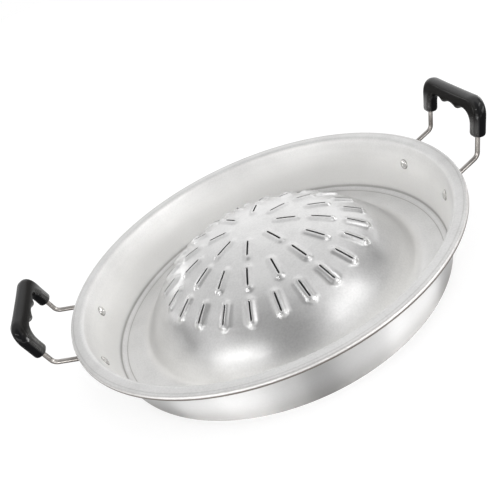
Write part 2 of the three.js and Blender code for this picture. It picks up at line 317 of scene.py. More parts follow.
@dataclass(frozen=True)
class SheetAluminium:
    """Aluminium sheet turned on a lathe: cloudy satin with fine rings about Z.

    Spans are where a soft step begins and ends, or a ring's middle and half width, in metres.
    """

    name: str
    colour: Colour = (0.665, 0.662, 0.659)
    # Colour of the dish: a painted light level, paler than the dome's for the satin inside.
    pale: Colour = (0.985, 0.98, 0.966)
    # Dark colour for grime and for painted shade.
    grime_and_shade: Colour = (0.12, 0.10, 0.085)
    stain: float = 0.86
    pale_stain: float = 0.96
    dome_roughness: float = 0.30
    dish_roughness: float = 0.58
    unevenness: float = 0.08
    ring_unevenness: float = 0.06
    ring_depth: float = 0.26
    bump_height: float = 0.0002
    brushing: float = 0.0
    brush_turn: float = 0.25
    ring_scale: float = 900.0
    broad_scale: float = 150.0
    cloud_scale: float = 38.0
    grain_scale: float = 1400.0
    speckle_scale: float = 620.0
    wear: Span = (0.38, 0.66)
    dish: Span = (0.106, 0.136)
    rough_dish: Span = (0.116, 0.138)
    floor: Span = (0.123, 0.132)
    floor_top: Span = (0.002, 0.009)
    floor_shade: float = 0.75
    wall_top: Span = (0.026, 0.050)
    top_shade: float = 0.45
    flange: Span = (0.161, 0.167)
    flange_shade: float = 0.85
    flange_ring: Span = (0.1719, 0.0008)
    ring_height: Span = (0.050, 0.052)
    ring_shade: float = 0.16
    corner_rings: tuple[Span, Span] = ((0.1472, 0.0007), (0.1521, 0.0007))
    corner_top: Span = (0.006, 0.009)
    corner_shade: float = 0.42
    lip: Span = (0.1735, 0.1743)
    lip_top: Span = (0.0506, 0.0516)
    lip_shade: float = 0.32
    lip_edge_shade: float = 0.58
    foot: Span = (0.002, 0.026)
    foot_edge: Span = (0.0008, 0.0060)
    foot_shade: float = 0.0

    def pale_share(self, graph: Graph, radius: Value, z: Value) -> Value:
        """Share of the pale colour: full on the wall, less at its top, on the floor and on the flange."""
        # Painted light level: the dish's own colour, lowered on the floor, at the wall's top and on the
        # flange.
        floor = (1.0 - graph.step(z, *self.floor_top)) * graph.step(radius, *self.floor)
        share = graph.step(radius, *self.dish) * (1.0 - graph.step(radius, *self.flange) * self.flange_shade)
        share = share * (1.0 - floor * self.floor_shade)
        return share * (1.0 - graph.step(z, *self.wall_top) * self.top_shade)

    def grime_and_shade_share(self, graph: Graph, radius: Value, z: Value) -> Value:
        """Share of grime and painted shade: lip, a flange ring, two rings in the floor's corner, the foot.
        """
        # Painted shade with some grime: the lip darker, and darkest along its lower edge under the flange.
        lip = self.lip_shade + (1.0 - graph.step(z, *self.lip_top)) * self.lip_edge_shade
        ring = graph.band(radius, *self.flange_ring) * graph.step(z, *self.ring_height)
        # Painted shade: two dark rings stand in for the shade in the creases of the floor's corner.
        inner, outer = (graph.band(radius, *span) for span in self.corner_rings)
        corner = (inner + outer) * (1.0 - graph.step(z, *self.corner_top))
        # Painted shade: darker towards the foot of the wall, which mirrors the floor in the pan's shadow.
        foot = 1.0 - graph.step(z, *self.foot) * 0.5 - graph.step(z, *self.foot_edge) * 0.5
        return (graph.step(radius, *self.lip) * lip + ring * self.ring_shade
                + corner * self.corner_shade + foot * self.foot_shade)

    def material(self) -> bpy.types.Material:
        """Builds the finish.

        Returns:
            A metal whose rings are noise of the distance from the axis and of the height, whose clouds
            change the colour and roughness, and whose fine grain tilts the normal. The dish is rougher
            than the dome and takes its own colour, paler by default, as a painted light level. Grime and
            painted shade darken the lip, two rings in the floor's corner and the foot.
        """
        material, graph = new_material(self.name)
        place = graph.place()
        x, y, z = graph.parts(place)
        radius = graph.radius(x, y)
        track = graph.node("ShaderNodeCombineXYZ", {}, {0: radius, 1: z})
        rings = graph.noise(track, self.ring_scale, 2.0, 0.6)
        broad = graph.noise(track, self.broad_scale)
        clouds = graph.noise(place, self.cloud_scale, 3.0)
        grain = graph.noise(place, self.grain_scale)
        speckle = graph.noise(place, self.speckle_scale, 3.0, 0.6)
        wear = graph.step(clouds * 0.35 + broad * 0.2 + speckle * 0.45, *self.wear)
        # Painted light level: the dish's colour, by the share from pale_share.
        pale = self.pale_share(graph, radius, z)
        clean = graph.blend(pale, self.colour, self.pale)
        stained = graph.blend(pale, times(self.colour, self.stain), times(self.pale, self.pale_stain))
        metal = graph.blend(wear, clean, stained)
        rough = graph.step(radius, *self.rough_dish) * (self.dish_roughness - self.dome_roughness)
        uneven = (clouds - 0.5) * self.unevenness + (rings - 0.5) * self.ring_unevenness
        graph.surface(
            # Grime and painted shade darken the metal here.
            Base_Color=graph.blend(self.grime_and_shade_share(graph, radius, z), metal, self.grime_and_shade),
            Metallic=1.0,
            Roughness=self.dome_roughness + rough + uneven,
            Normal=graph.bump(rings * 0.4 + grain * 0.6, self.ring_depth, self.bump_height),
            Anisotropic=self.brushing,
            Anisotropic_Rotation=self.brush_turn if self.brushing else 0.0,
        )
        return material


@dataclass(frozen=True)
class PlatedSteel:
    """Plated wire, browned in patches and darker underneath: heat browning and painted shade."""

    name: str = "plated_wire"
    colour: Colour = (0.36, 0.342, 0.325)
    brown: Colour = (0.046, 0.034, 0.028)
    roughness: float = 0.29
    underside: Span = (-0.60, 0.52)
    under_share: float = 0.9
    drifts: Span = (0.40, 0.68)
    drift_share: float = 0.35
    drift_scale: float = 70.0
    speck_scale: float = 900.0
    speck_bump: float = 0.006
    bump_height: float = 0.0002

    def material(self) -> bpy.types.Material:
        """Builds the finish.

        Returns:
            A metal that is browner where slow noise is high, and darker and browner where its normal looks
            down, which is partly heat browning and partly painted shade; rougher where fine noise is.
        """
        material, graph = new_material(self.name)
        place = graph.place()
        drift = graph.noise(place, self.drift_scale, 3.0)
        specks = graph.noise(place, self.speck_scale)
        _, _, upward = graph.parts(graph.place("Normal"))
        # Painted shade, partly heat browning: darker and browner where the normal looks down.
        under = 1.0 - graph.step(upward, *self.underside)
        browned_and_shaded = under * self.under_share + graph.step(drift, *self.drifts) * self.drift_share
        graph.surface(
            Base_Color=graph.blend(graph.math("MINIMUM", browned_and_shaded, 1.0), self.colour, self.brown),
            Metallic=1.0,
            Roughness=self.roughness + (specks - 0.5) * 0.05 + (drift - 0.5) * 0.08,
            Normal=graph.bump(specks, self.speck_bump, self.bump_height),
        )
        return material


@dataclass(frozen=True)
class BlackPhenolic:
    """Black moulding with painted sheen: coat on top, less on the left, full on the legs' faces to the pan.
    """

    name: str = "black_phenolic"
    colour: Colour = (0.003, 0.003, 0.0035)
    dull_colour: Colour = (0.006, 0.0055, 0.005)
    roughness: float = 0.30
    dull_roughness: float = 0.50
    refraction: float = 1.15
    specular: float = 0.15
    gloss: float = 0.07
    coat_refraction: float = 1.9
    inner_side: Span = (0.25, 0.80)
    leg_tops: Span = (0.078, 0.092)
    top_side: Span = (0.15, 0.95)
    middle: Span = (-0.01, 0.01)
    left_sheen: float = 0.23
    right_sheen: float = 0.48
    peel_scale: float = 420.0
    peel_bump: float = 0.02
    bump_height: float = 0.0004
    dust_scale: float = 120.0

    def material(self) -> bpy.types.Material:
        """Builds the finish.

        Returns:
            A plastic with a faint moulded unevenness. Where its normal looks to the pan's axis along X
            it takes the dull colour and roughness; the dull colour's brown tint is a painted reflection of
            the pan. The coat is painted sheen: full on those faces of the legs, thinner where the normal
            looks up, thinner on the left than on the right, and all but gone elsewhere.
        """
        material, graph = new_material(self.name)
        place = graph.place()
        x, _, z = graph.parts(place)
        facing, _, upward = graph.parts(graph.place("Normal"))
        inward = graph.step(-1.0 * facing * graph.math("SIGN", x), *self.inner_side)
        legs = 1.0 - graph.step(z, *self.leg_tops)
        # Painted sheen: the coat follows where the normal looks, thinner on the left grip's top than the
        # right's.
        top_sheen = self.left_sheen + graph.step(x, *self.middle) * (self.right_sheen - self.left_sheen)
        sheen = graph.math("MAXIMUM", graph.step(upward, *self.top_side) * top_sheen, inward * legs)
        peel = graph.noise(place, self.peel_scale)
        dust = graph.noise(place, self.dust_scale, 3.0)
        graph.surface(
            # The browner dull colour on the faces towards the pan is a painted reflection of the pan.
            Base_Color=graph.blend(inward * (0.75 + dust * 0.5), self.colour, self.dull_colour),
            Roughness=self.roughness + inward * (self.dull_roughness - self.roughness) + (dust - 0.5) * 0.10,
            Normal=graph.bump(peel, self.peel_bump, self.bump_height),
            IOR=self.refraction,
            Specular_IOR_Level=self.specular,
            Coat_Weight=0.02 + sheen * (0.85 + dust * 0.2),
            Coat_Roughness=self.gloss,
            Coat_IOR=self.coat_refraction,
        )
        return material


@dataclass(frozen=True)
class RivetAluminium:
    """Soft aluminium set with a hammer: satin, a little brighter than the sheet."""

    name: str = "rivet_aluminium"
    colour: Colour = (0.74, 0.73, 0.715)
    shade: Colour = (0.55, 0.54, 0.525)
    shaded: Span = (0.45, 0.75)
    roughness: float = 0.24
    unevenness: float = 0.14
    dent_scale: float = 500.0
    dent_bump: float = 0.15
    bump_height: float = 0.0003
    cloud_scale: float = 260.0

    def material(self) -> bpy.types.Material:
        """Builds the finish.

        Returns:
            A metal with small dents and a cloudy colour and roughness.
        """
        material, graph = new_material(self.name)
        place = graph.place()
        dents = graph.noise(place, self.dent_scale)
        clouds = graph.noise(place, self.cloud_scale)
        graph.surface(
            Base_Color=graph.blend(graph.step(clouds, *self.shaded), self.colour, self.shade),
            Metallic=1.0,
            Roughness=self.roughness + (clouds - 0.5) * self.unevenness,
            Normal=graph.bump(dents, self.dent_bump, self.bump_height),
        )
        return material


class Zone(Enum):
    """Which finish a band of the sheet has."""

    SATIN = 0
    SPUN = 1


@dataclass
class SheetLine:
    """The sheet's upper face in section, row by row: radius and height, normal, distance from the apex
    along the dome, and whether the sheet is spun there on its outside."""

    points: np.ndarray
    normals: np.ndarray
    run: np.ndarray
    spun: np.ndarray


def rounded_line(points: list[tuple[float, float]], radii: list[float], line_steps: list[int],
                 arc_steps: list[int]) -> tuple[np.ndarray, np.ndarray]:
    """Straight runs joined by arcs: an arc of each radius touches the two runs at its corner.

    Args:
        points: First point, corners and last point, as radius and height.
        radii: Arc radius at each corner.
        line_steps: Rows on each straight run.
        arc_steps: Rows on each arc.

    Returns:
        Points without the first one, and the normals on their left.
    """
    corners = np.array(points, float)
    way = unit(np.diff(corners, axis=0))
    turn = np.arctan2(way[:-1, 0] * way[1:, 1] - way[:-1, 1] * way[1:, 0], (way[:-1] * way[1:]).sum(1))
    cut = np.array(radii) * np.tan(np.abs(turn) / 2)
    starts = np.vstack([corners[:1], corners[1:-1] + way[1:] * cut[:, None]])
    ends = np.vstack([corners[1:-1] - way[:-1] * cut[:, None], corners[-1:]])
    out, normals = [], []
    for i, steps in enumerate(line_steps):
        t = np.arange(1, steps + 1)[:, None] / steps
        out.append(starts[i] + (ends[i] - starts[i]) * t)
        normals.append(np.repeat([[-way[i, 1], way[i, 0]]], steps, axis=0))
        if i < len(radii):
            left = np.array([-way[i, 1], way[i, 0]]) * np.sign(turn[i])
            centre = ends[i] + left * radii[i]
            angle = np.arctan2(-left[1], -left[0]) + turn[i] * np.arange(1, arc_steps[i] + 1) / arc_steps[i]
            spoke = np.stack([np.cos(angle), np.sin(angle)], axis=-1)
            out.append(centre + spoke * radii[i])
            normals.append(-spoke * np.sign(turn[i]))
    return np.concatenate(out), np.concatenate(normals)


@dataclass
class PanSheet:
    """The pan's body: one sheet from the apex of the slotted dome to the end of the lip, in millimetres."""

    sheet: float = 1.5
    rim_radius: float = 175.0
    bowl_depth: float = 51.7
    wall_lean: float = radians(13.5)
    flange_width: float = 11.0
    lip_drop: float = 3.2
    floor_corner: float = 4.5
    rim_bend: float = 4.0
    lip_bend: float = 2.0
    dome_height: float = 64.7
    dome_foot: float = 125.7
    dome_fullness: float = 0.51
    foot_flare: float = 5.0
    first_ring: float = 31.0
    ring_pitch: float = 29.0
    ribs_per_ring: int = 8
    rib_turn: float = radians(-110.8)
    rib_half_width: float = 4.7
    rib_heights: tuple[float, ...] = (1.7, 2.1, 2.25)
    slit_half_width: float = 0.68
    slit_half_length: float = 8.1
    slit_dip: float = 0.22
    slit_end_rows: tuple[float, ...] = (6.8, 7.6, 8.1, 9.3, 10.4)
    slit_end_shares: tuple[float, ...] = (1.0, 0.75, 0.2, 0.6, 1.0)
    rib_softness: float = 0.30
    rib_end: float = 9.3
    rib_far: float = 9.0
    beside_rib: tuple[float, ...] = (1.6, 2.6, 3.7, 4.9)
    ring_entry: float = 19.7
    ring_exit: float = 26.0
    groove_depth: float = 0.35
    groove_width: float = 1.1
    groove_inset: float = 1.2
    groove_top: float = 8.0
    columns: int = 336
    apex_rows: tuple[float, ...] = (1.5, 4.0, 7.0, 10.0, 13.0)
    foot_rows: int = 8
    flare_rows: int = 7
    floor_rows: int = 3
    corner_rows: int = 9
    wall_rows: int = 10
    bend_rows: int = 6
    flange_rows: int = 3
    lip_rows: int = 4
    trace_points: int = 6001

    def ring_offsets(self) -> np.ndarray:
        """Rows along a rib, from its middle: dense at the slit's ends and round the rib's ends."""
        half = np.array([1.5, 4.5, 6.8, 7.6, self.slit_half_length, 9.3, 10.4, 11.6, 12.8])
        return np.concatenate([-half[::-1], half])

    def ring_middles(self) -> np.ndarray:
        """Distances along the dome from the apex to the middle of each ring's ribs."""
        return self.first_ring + self.ring_pitch * np.arange(len(self.rib_heights))

    def line(self) -> SheetLine:
        """The sheet's upper face in section.

        The dome is a quarter ellipse measured by its length from the apex. It flares on a parabola into
        the floor, and straight runs with arcs follow for the floor, wall, flange and lip.

        Returns:
            Rows from the one next to the apex out to the end of the lip.
        """
        floor, rim = self.sheet, self.sheet + self.bowl_depth
        apex = self.sheet + self.dome_height
        tall = self.dome_height / self.dome_fullness
        wide = self.dome_foot / np.sqrt(1 - (1 - self.dome_fullness) ** 2)
        last = np.arcsin(1 - (self.dome_height - self.foot_flare) / tall)
        angle = np.linspace(np.pi / 2, last, self.trace_points)
        trace = np.stack([wide * np.cos(angle), apex - tall + tall * np.sin(angle)], axis=-1)
        length = lengths_along(trace)
        middles = self.ring_middles()
        shared = np.append(middles - self.ring_pitch / 2, middles[-1] + self.ring_pitch / 2)
        ribs = (middles[:, None] + self.ring_offsets()).ravel()
        below = np.linspace(shared[-1], length[-1], self.foot_rows + 1)[1:]
        run = np.sort(np.concatenate([self.apex_rows, shared, ribs, below]))
        turned = np.interp(run, length, angle)
        dome = np.stack([wide * np.cos(turned), apex - tall + tall * np.sin(turned)], axis=-1)
        dome_normal = unit(np.stack([np.cos(turned) / wide, np.sin(turned) / tall], axis=-1))

        slope = np.array([dome_normal[-1, 1], -dome_normal[-1, 0]])
        reach = self.foot_flare / -slope[1]
        corner = dome[-1] + slope * reach
        end = corner + np.array([reach, 0.0])
        t = np.linspace(0, 1, self.flare_rows + 1)[1:, None]
        flare = (1 - t) ** 2 * dome[-1] + 2 * t * (1 - t) * corner + t ** 2 * end
        along = unit((1 - t) * (corner - dome[-1]) + t * (end - corner))
        flare_normal = np.stack([-along[:, 1], along[:, 0]], axis=-1)

        wall_top = self.rim_radius - self.flange_width
        wall_foot = wall_top - self.bowl_depth * np.tan(self.wall_lean)
        corners = [tuple(end), (wall_foot, floor), (wall_top, rim), (self.rim_radius, rim),
                   (self.rim_radius, rim - self.lip_drop)]
        rest, rest_normal = rounded_line(
            corners, [self.floor_corner, self.rim_bend, self.lip_bend],
            [self.floor_rows, self.wall_rows, self.flange_rows, 1],
            [self.corner_rows, self.bend_rows, self.bend_rows])
        points = np.concatenate([dome, flare, rest])
        spun = np.zeros(len(points), bool)
        corner_start = len(dome) + len(flare) + self.floor_rows
        wall_end = corner_start + self.corner_rows + self.wall_rows
        spun[corner_start + self.corner_rows // 2:wall_end + self.bend_rows // 3] = True
        far = np.full(len(points) - len(run), length[-1] + self.foot_flare)
        normals = np.concatenate([dome_normal, flare_normal, rest_normal])
        return SheetLine(points, normals, np.concatenate([run, far]), spun)

    def local_column(self, ring: int) -> tuple[np.ndarray, np.ndarray]:
        """Which rib each column belongs to, and its count from that rib's middle."""
        per_rib = self.columns // (self.ribs_per_ring * (ring + 1))
        column = np.arange(self.columns)
        local = (column + per_rib // 2) % per_rib - per_rib // 2
        return (column - local) // per_rib, local

    def angles(self, run: np.ndarray, radius: np.ndarray) -> np.ndarray:
        """Angles of the grid's points about Z.

        Beside a rib the columns keep fixed distances from its middle, in millimetres, and share out what
        is left up to the halfway line between two ribs. The column at a slit's edge closes in at the
        slit's ends. Between rings one sharing passes softly into the next, and at the apex and below the
        ribs the columns are even.

        Args:
            run: Distance of each row from the apex along the dome.
            radius: Radius of each row.

        Returns:
            Angles from the first rib, shaped (rows, columns).
        """
        even = ring_angles(self.columns)
        middles = self.ring_middles()
        near = np.array([0.0, self.slit_half_width, *self.beside_rib])
        fixed = len(near) - 1
        out = np.repeat(even[None], len(run), axis=0)
        for ring, middle in enumerate(middles):
            count = self.ribs_per_ring * (ring + 1)
            rib, local = self.local_column(ring)
            index = np.abs(local)[None]
            half = np.pi / count * radius[:, None]
            beside = near[np.minimum(index, fixed)]
            spread = (index - fixed) / (self.columns / count / 2 - fixed)
            beyond = near[fixed] + spread * (half - near[fixed])
            narrow = np.interp(np.abs(run - middle), self.slit_end_rows, self.slit_end_shares)[:, None]
            across = np.where(index <= fixed, np.where(index == 1, beside * narrow, beside), beyond)
            own = rib * 2 * np.pi / count + np.sign(local) * across / radius[:, None]
            entry = self.ring_pitch / 2 if ring == 0 else self.ring_entry
            enter = smoothstep(middle - entry, middle - self.rib_end, run)
            out = out + (own - out) * enter[:, None]
        leave = smoothstep(middles[-1] + self.rib_end, middles[-1] + self.ring_exit, run)
        return out + (even - out) * leave[:, None]

    def rib_rise(self, run: np.ndarray, radius: np.ndarray, angle: np.ndarray) -> np.ndarray:
        """Height of the pressed ribs over the dome.

        A rib falls from its crest with the square of the distance from a line as long as its slit, and
        runs out softly where it meets the dome, as half of q plus the root of q squared and a little.

        Args:
            run: Distance of each row from the apex.
            radius: Radius of each row.
            angle: Angles of the points from the first rib.

        Returns:
            Rise in millimetres, shaped (rows, columns).
        """
        rise = np.zeros_like(angle)
        for ring, (middle, height) in enumerate(zip(self.ring_middles(), self.rib_heights)):
            pitch = 2 * np.pi / (self.ribs_per_ring * (ring + 1))
            across = ((angle + pitch / 2) % pitch - pitch / 2) * radius[:, None]
            past = np.maximum(np.abs(run - middle) - self.slit_half_length, 0.0)[:, None]
            fall = (across ** 2 + past ** 2) / self.rib_half_width ** 2
            q = height * (1 - fall)
            soft = (q + np.sqrt(q * q + self.rib_softness * self.rib_softness)) / 2
            rise += np.where(fall < self.rib_far, soft, 0.0)
            edge = (np.abs(np.abs(across) - self.slit_half_width) < CLOSE) & (past == 0.0)
            rise -= np.where(edge, self.slit_dip, 0.0)
        return rise

    def slit_cells(self, run: np.ndarray, bands: int) -> np.ndarray:
        """Marks the cells of the grid that the slits cut away, shaped (bands, columns)."""
        cut = np.zeros((bands, self.columns), bool)
        for ring, middle in enumerate(self.ring_middles()):
            inside = np.abs(run - middle) < self.slit_half_length + CLOSE
            _, local = self.local_column(ring)
            band = (inside[:-1] & inside[1:])[:, None] & ((local == -1) | (local == 0))[None]
            cut[:len(band)] |= band
        return cut

    def skin(self) -> Skin:
        """The whole sheet as one closed grid.

        Rows run over the upper face, round the end of the lip and back along the lower face, which lies
        one sheet below the upper one along its normal. Cells inside the slits are left out on both
        faces, and a wall joins the two faces round each slit.

        Returns:
            The surface, with the walls of the slits shaded flat.
        """
        line = self.line()
        radius, height = line.points[:, 0], line.points[:, 1]
        angle = self.angles(line.run, radius)
        rise = self.rib_rise(line.run, radius, angle)
        lean_r, lean_z = line.normals[:, :1], line.normals[:, 1:]
        groove = np.exp(-((radius - self.groove_radius()) / self.groove_width) ** 2)
        thick = self.sheet - self.groove_depth * (groove * (height < self.groove_top))[:, None]
        top = np.stack([radius[:, None] + rise * lean_r, height[:, None] + rise * lean_z], axis=-1)
        low = top - thick[..., None] * line.normals[:, None]
        round_end = np.linspace(0, np.pi, self.lip_rows + 2)[1:-1, None]
        middle = (top[-1] + low[-1]) / 2
        half = (top[-1] - low[-1]) / 2
        down = np.array([0.0, -np.linalg.norm(half[0])])
        lip = middle + np.cos(round_end)[..., None] * half + np.sin(round_end)[..., None] * down
        profile = np.concatenate([top, lip, low[::-1]])
        lip_angle = np.repeat(angle[-1:], len(lip), axis=0)
        turned = np.concatenate([angle, lip_angle, angle[::-1]]) + self.rib_turn
        far, high = profile[..., 0], profile[..., 1]
        grid = np.stack([far * np.cos(turned), far * np.sin(turned), high], axis=-1)
        rows = len(grid)
        apex = self.sheet + self.dome_height
        points = np.concatenate([grid.reshape(-1, 3), [[0, 0, apex], [0, 0, apex - self.sheet]]])

        quads = grid_quads(rows, self.columns)
        cut = self.slit_cells(line.run, rows - 1)
        walls = self.slit_walls(quads, cut, rows)
        kept = ~(cut | cut[::-1])
        band_spun = np.concatenate([np.zeros(len(line.spun) + len(lip), bool), line.spun[::-1]])[:-1]
        zone = np.where(band_spun, Zone.SPUN.value, Zone.SATIN.value)
        zone = np.repeat(zone[:, None], self.columns, axis=1)[kept]
        caps = end_caps(rows, self.columns)
        finish = np.concatenate([zone, np.zeros(len(walls) + len(caps), int)])
        flat = np.repeat([False, True, False], [len(zone), len(walls), len(caps)])
        return Skin(points, np.concatenate([quads[kept], walls]), caps, finish, flat)

    def groove_radius(self) -> float:
        """Radius of the groove round the outside of the floor's corner."""
        wall_foot = self.rim_radius - self.flange_width - self.bowl_depth * np.tan(self.wall_lean)
        return wall_foot - self.groove_inset

    def slit_walls(self, quads: np.ndarray, cut: np.ndarray, rows: int) -> np.ndarray:
        """Walls round the slits, between each edge of a cut region and the edge below it.

        Args:
            quads: All cells of the grid.
            cut: Marks of the cells cut from the upper face.
            rows: Number of rows of points.

        Returns:
            Quads that face into the slits.
        """
        pad = np.pad(cut, ((1, 1), (0, 0)))
        before, after = np.roll(cut, 1, axis=1), np.roll(cut, -1, axis=1)
        sides = ((pad[:-2], 3, 0), (pad[2:], 1, 2), (before, 0, 1), (after, 2, 3))
        edges = np.concatenate([quads[cut & ~beside][:, [a, b]] for beside, a, b in sides])
        under = (rows - 1 - edges // self.columns) * self.columns + edges % self.columns
        return np.stack([edges[:, 0], edges[:, 1], under[:, 1], under[:, 0]], axis=-1)

    def build(self, satin: bpy.types.Material, spun: bpy.types.Material) -> None:
        """Adds the sheet to the scene."""
        add_piece("pan_sheet", self.skin(), [satin, spun], "pan_body")


class Side(Enum):
    """The two handles: how far each is turned about Z from the right one, and its stem in millimetres."""

    RIGHT = (0.0, 17.4)
    LEFT = (float(np.pi), 13.0)

    @property
    def label(self) -> str:
        """The word used in the names of pieces."""
        return self.name.lower()

    @property
    def turn(self) -> float:
        """Angle about Z from the right handle, in radians."""
        return self.value[0]

    @property
    def stem(self) -> float:
        """Bare rod between its bend and the grip."""
        return self.value[1]


@dataclass
class HandlePlan:
    """Where a handle's parts sit, worked out on the right side in millimetres."""

    pan: PanSheet
    rivet_depth: float = 19.8
    seat_gap: float = 0.5
    rod_radius: float = 2.0
    rod_spacing: float = 79.0
    rod_reach: float = 17.7
    rod_rise: float = radians(20.0)
    handle_lean: float = radians(13.6)
    stem: float = 17.4
    bar_rise: float = 24.5

    def __post_init__(self) -> None:
        """Works out the rivets' place on the wall, the rod's bend above the lip and the bar's middle."""
        pan = self.pan
        wall_top, rim_height = pan.rim_radius - pan.flange_width, pan.sheet + pan.bowl_depth
        self.bar_middle = self.stem + self.bar_rise
        self.leg = self.rod_spacing / 2
        self.rod_off = pan.sheet + self.seat_gap + self.rod_radius
        self.rivet_radius = wall_top - self.rivet_depth * np.tan(pan.wall_lean)
        self.rivet_height = rim_height - self.rivet_depth
        self.rivet_turn = float(np.arcsin(self.leg / (self.rivet_radius + self.rod_off)))
        reach = np.sqrt(pan.rim_radius ** 2 - self.leg ** 2)
        under = rim_height - pan.lip_drop - self.seat_gap - self.rod_radius / np.cos(self.rod_rise)
        self.bend = np.array([reach + self.rod_reach, 0.0, under + self.rod_reach * np.tan(self.rod_rise)])
        self.grip_up = np.array([np.sin(self.handle_lean), 0.0, np.cos(self.handle_lean)])
        self.grip_out = np.array([np.cos(self.handle_lean), 0.0, -np.sin(self.handle_lean)])

    def on_wall(self, points: np.ndarray, side: float) -> np.ndarray:
        """Points given across, out of and up the wall from a rivet's place, moved to the wall.

        Args:
            points: Points, with the wall's inner face at 0 out.
            side: 1 for the rivet at positive Y, -1 for the other.

        Returns:
            The points in the pan's frame.
        """
        lean = self.pan.wall_lean
        out = np.array([np.cos(lean), 0.0, -np.sin(lean)])
        up = np.array([np.sin(lean), 0.0, np.cos(lean)])
        axes = np.stack([np.cross(out, up), out, up])
        return turn_z(points @ axes + [self.rivet_radius, 0.0, self.rivet_height], side * self.rivet_turn)

    def on_grip(self, across: np.ndarray, up: np.ndarray, out: np.ndarray) -> np.ndarray:
        """Points given across, up and out of the grip's plane from the rod's bend."""
        return (self.bend + across[..., None] * [0.0, 1.0, 0.0] + up[..., None] * self.grip_up
                + out[..., None] * self.grip_out)


def bent_path(corners: np.ndarray, radii: list[float], gap: float, bend_steps: int) -> np.ndarray:
    """A path of straight runs with an arc at each corner, which touches both runs.

    Args:
        corners: First point, corners and last point.
        radii: Arc radius at each corner.
        gap: Longest step on a straight run.
        bend_steps: Steps on each arc.

    Returns:
        Points along the path.
    """
    way = unit(np.diff(corners, axis=0))
    turn = np.arccos(np.clip((way[:-1] * way[1:]).sum(1), -1, 1))
    cut = np.array(radii) * np.tan(turn / 2)
    out = [corners[:1]]
    for i in range(len(way)):
        start = corners[i] + (way[i] * cut[i - 1] if i else 0.0)
        end = corners[i + 1] - (way[i] * cut[i] if i < len(cut) else 0.0)
        steps = max(1, int(np.ceil(np.linalg.norm(end - start) / gap)))
        out.append(start + (end - start) * np.arange(1, steps + 1)[:, None] / steps)
        if i < len(cut):
            inward = unit(way[i + 1] - way[i] * np.cos(turn[i]))
            angle = turn[i] * np.arange(1, bend_steps + 1)[:, None] / bend_steps
            out.append(end + radii[i] * (way[i] * np.sin(angle) + inward * (1 - np.cos(angle))))
    return np.concatenate(out)


@dataclass
class BentRod:
    """A handle's rod: round wire with both ends flattened against the wall, in millimetres."""

    plan: HandlePlan
    bend_radius: float = 7.0
    flat_half_width: float = 5.0
    flat_half_thickness: float = 1.0
    flat_reach: float = 9.5
    flat_core: float = 3.0
    flat_fade: float = 2.0
    taper: float = 12.0
    squareness: float = 3.0
    tip_width: float = 0.02
    tip_thickness: float = 0.05
    seat_slack: float = 0.05
    path_step: float = 0.8
    bend_steps: int = 10
    sides: int = 40

    def half_path(self) -> tuple[np.ndarray, np.ndarray]:
        """The rod's middle line on the +Y side, from the foot of the flat end to the middle of the bar.

        Returns:
            Points, and the distance of each above the rivet as long as the rod is on the wall.
        """
        plan = self.plan
        marks = [[0.0, plan.rod_off, up] for up in (-self.flat_half_width, 0.0, 1.0)]
        foot, low, above = plan.on_wall(np.array(marks), 1.0)
        leg = plan.bend + [0.0, plan.leg, 0.0]
        slope = np.tan(plan.rod_rise)
        run = above - low
        up = (leg[2] - slope * (leg[0] - low[0]) - low[2]) / (run[2] - slope * run[0])
        top = leg + plan.grip_up * plan.bar_middle
        corners = np.stack([foot, low + run * up, leg, top, top * [1.0, 0.0, 1.0]])
        path = bent_path(corners, [self.bend_radius] * 3, self.path_step, self.bend_steps)
        return path, lengths_along(path) - self.flat_half_width

    def skin(self) -> Skin:
        """The rod as one closed tube.

        A section is a squared ellipse, whose corners fill out as it flattens: a power of the cosine
        across and of the sine through it. On the flat end its width follows a half circle below the
        rivet and tapers into the round wire above.

        Returns:
            The surface, mirrored about the middle of the bar.
        """
        plan = self.plan
        path, above = self.half_path()
        tangent = unit(np.gradient(path, axis=0))
        blend = smoothstep(self.flat_reach, self.flat_reach + self.taper, above)
        turn = plan.rivet_turn * (1 - blend)
        ref = np.stack([plan.grip_out[0] * np.cos(turn), plan.grip_out[0] * np.sin(turn),
                        np.full(len(turn), plan.grip_out[2])], axis=-1)
        through = unit(ref - (ref * tangent).sum(1)[:, None] * tangent)
        across = np.cross(tangent, through)
        flat = 1 - smoothstep(self.flat_core, self.flat_reach + self.flat_fade, above)
        foot = np.sqrt(np.clip(1 - np.minimum(above / self.flat_half_width, 0.0) ** 2, 0.0, 1.0))
        half_width = plan.rod_radius + (self.flat_half_width - plan.rod_radius) * flat
        half_width = half_width * np.maximum(foot, self.tip_width)
        half_thick = plan.rod_radius + (self.flat_half_thickness - plan.rod_radius) * flat
        half_thick = half_thick * np.maximum(np.sqrt(foot), self.tip_thickness)
        power = (2.0 / (2.0 + self.squareness * flat))[:, None]
        angle = ring_angles(self.sides)
        cos, sin = np.cos(angle)[None], np.sin(angle)[None]
        wide = half_width[:, None] * np.sign(cos) * np.abs(cos) ** power
        thick = half_thick[:, None] * np.sign(sin) * np.abs(sin) ** power
        shift = -(plan.rod_radius - self.flat_half_thickness + plan.seat_gap - self.seat_slack) * flat
        rings = (path[:, None] + wide[..., None] * across[:, None]
                 + (thick + shift[:, None])[..., None] * through[:, None])
        grid = np.concatenate([rings, rings[-2::-1] * MIRROR_Y])
        rows = len(grid)
        ends = np.stack([grid[0].mean(0), grid[-1].mean(0)])
        quads = grid_quads(rows, self.sides).reshape(-1, 4)
        return Skin(np.concatenate([grid.reshape(-1, 3), ends]), quads, end_caps(rows, self.sides))


